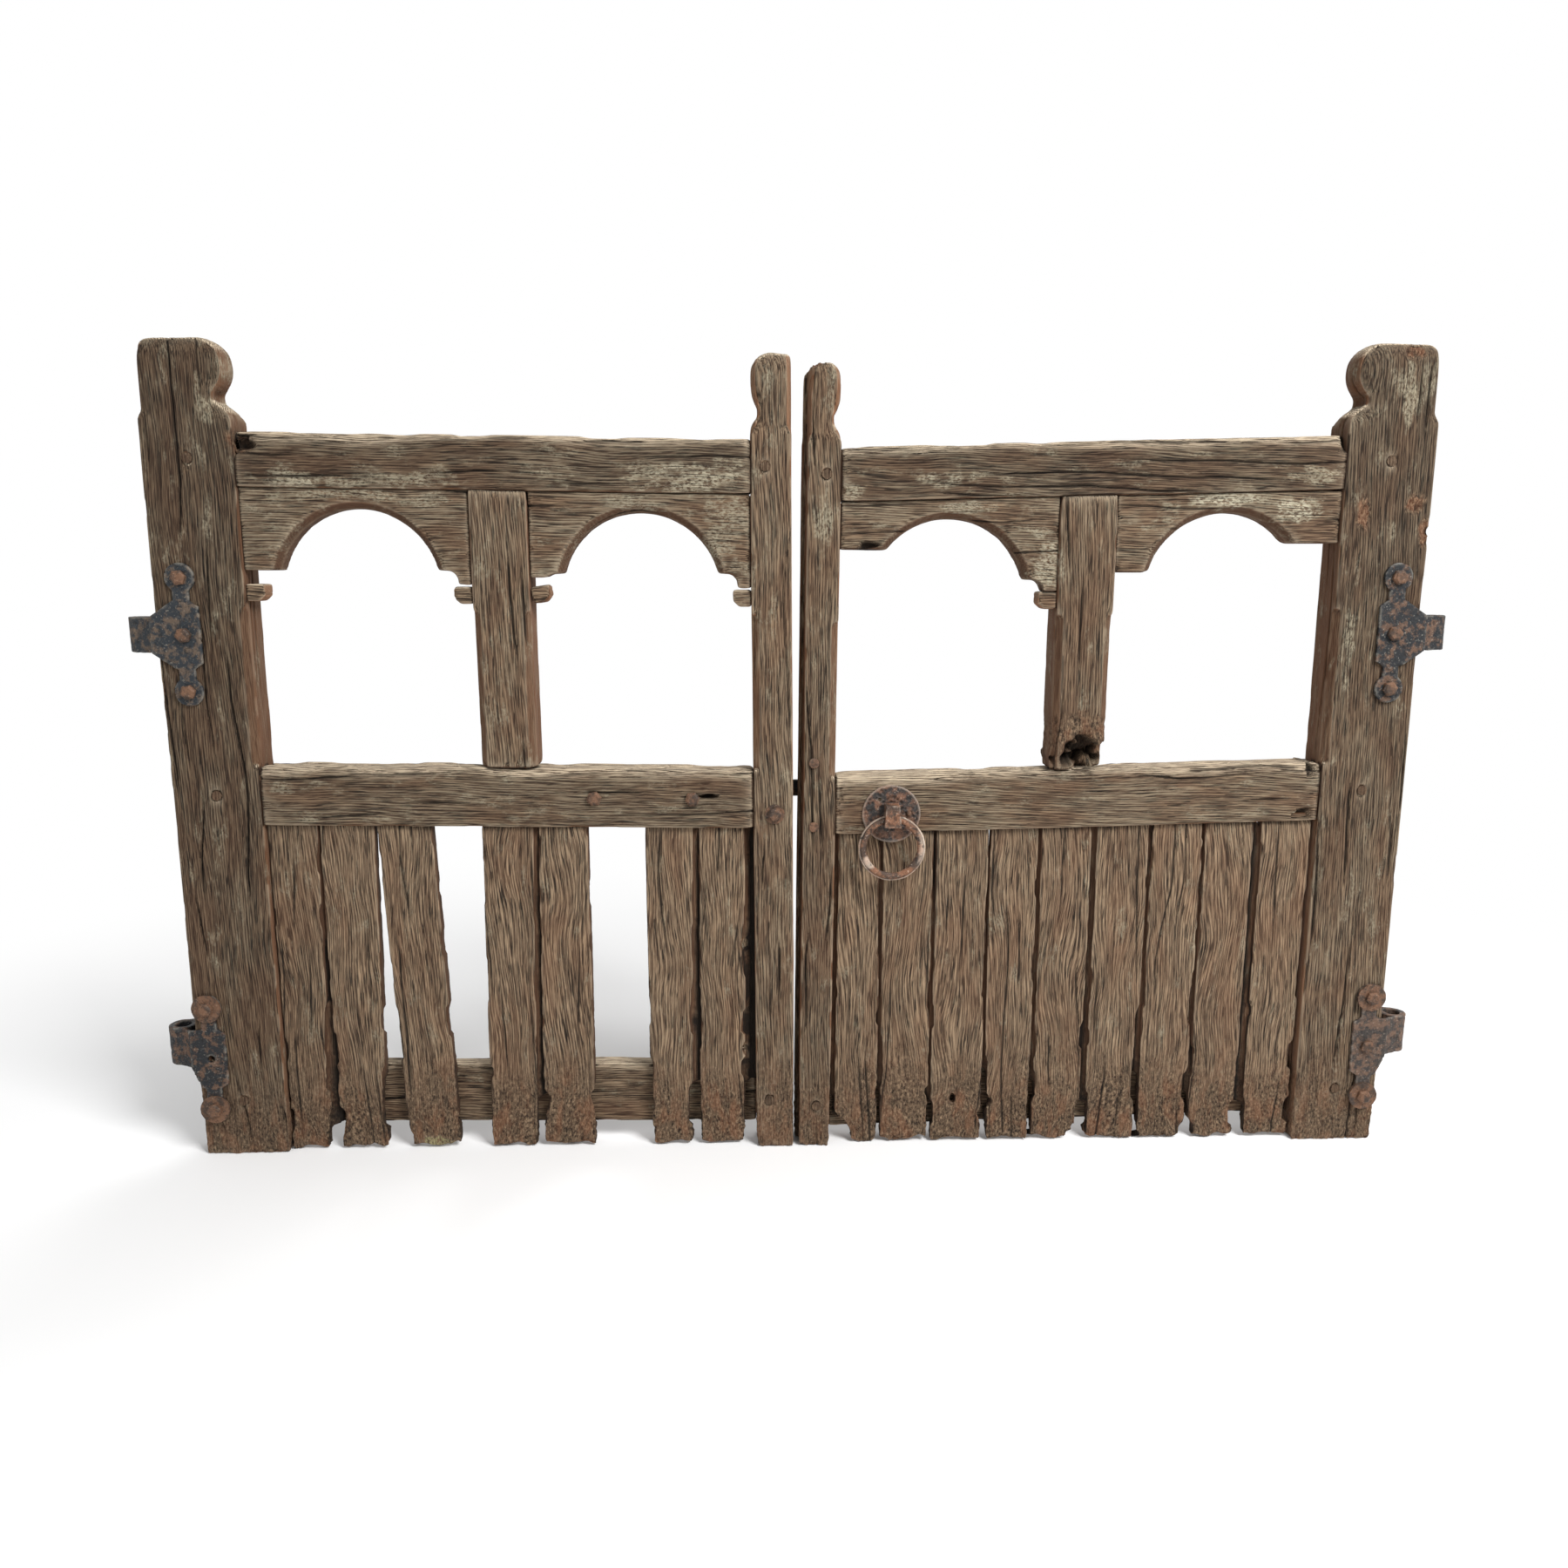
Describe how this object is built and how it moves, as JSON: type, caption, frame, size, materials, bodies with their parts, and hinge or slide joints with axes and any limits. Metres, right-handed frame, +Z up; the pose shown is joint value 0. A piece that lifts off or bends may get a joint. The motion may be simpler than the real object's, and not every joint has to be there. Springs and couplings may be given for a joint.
{
  "type": "pair of church gates",
  "caption": "Pair of weathered framed oak gates with arched lights over vertical boards, bolted eye hinges and a ring-handled latch that lifts a bar behind.",
  "frame": {"origin": "middle of the pair on the floor, at the middle of the overall depth", "axes": "+X to the right seen from the front, +Y from the front to the back, +Z up"},
  "size_m": [2.1218, 0.1214, 1.328],
  "materials": {
    "oak": "weathered, grey-brown, open grain with lichen",
    "peg_oak": "dark end grain",
    "iron": "dark wrought iron with rust",
    "rusty_iron": "matt brown rust"
  },
  "bodies": {
    "left_leaf": {"left_hanging_stile": "oak", "left_meeting_stile": "oak", "left_top_rail": "oak", "left_mid_rail": "oak", "left_bottom_rail": "oak", "left_muntin": "oak", "left_outer_arch": "oak", "left_inner_arch": "oak", "left_impost_stile": "oak", "left_impost_muntin_out": "oak", "left_impost_muntin_in": "oak", "left_impost_meeting": "oak", "left_board_1": "oak", "left_board_2": "oak", "left_board_3": "oak", "left_board_4": "oak", "left_board_5": "oak", "left_board_6": "oak", "left_board_7": "oak", "left_upper_hinge": "iron", "left_lower_hinge": "iron", "left_hinge_bolts": "rusty_iron", "left_pegs": "peg_oak", "left_rail_bolts": "rusty_iron", "left_keep_bolt": "rusty_iron"},
    "right_leaf": {"right_hanging_stile": "oak", "right_meeting_stile": "oak", "right_top_rail": "oak", "right_mid_rail": "oak", "right_bottom_rail": "oak", "right_muntin": "oak", "right_outer_arch": "oak", "right_inner_arch": "oak", "right_impost_muntin_in": "oak", "right_board_1": "oak", "right_board_2": "oak", "right_board_3": "oak", "right_board_4": "oak", "right_board_5": "oak", "right_board_6": "oak", "right_board_7": "oak", "right_board_8": "oak", "right_board_9": "oak", "right_upper_hinge": "iron", "right_lower_hinge": "iron", "right_hinge_bolts": "rusty_iron", "right_pegs": "peg_oak", "rose": "iron", "rose_rivet": "rusty_iron", "latch_pivot": "iron", "staple": "iron"},
    "spindle": {"boss": "rusty_iron", "lifter": "iron"},
    "ring": {"ring": "rusty_iron"},
    "latch_bar": {"latch_bar": "iron"}
  },
  "joints": [
    {"name": "right_leaf_swing", "type": "hinge", "parent": "left_leaf", "child": "right_leaf", "pos_m": [1.0389, 0.0027, 0], "axis": [0, 0, -1], "range_deg": [0, 95]},
    {"name": "spindle_turn", "type": "hinge", "parent": "right_leaf", "child": "spindle", "pos_m": [0.1549, 0.0027, 0.58662], "axis": [0, 1, 0], "range_deg": [0, 30]},
    {"name": "ring_swing", "type": "hinge", "parent": "spindle", "child": "ring", "pos_m": [0.1549, -0.0467, 0.58199], "axis": [-1, 0, 0], "range_deg": [0, 110]},
    {"name": "latch_lift", "type": "hinge", "parent": "right_leaf", "child": "latch_bar", "pos_m": [0.2839, 0.0027, 0.61752], "axis": [0, 1, 0], "range_deg": [0, 6.6]}
  ],
  "couplings": [
    {"joint": "latch_lift", "follows": "spindle_turn", "ratio": 0.22}
  ]
}
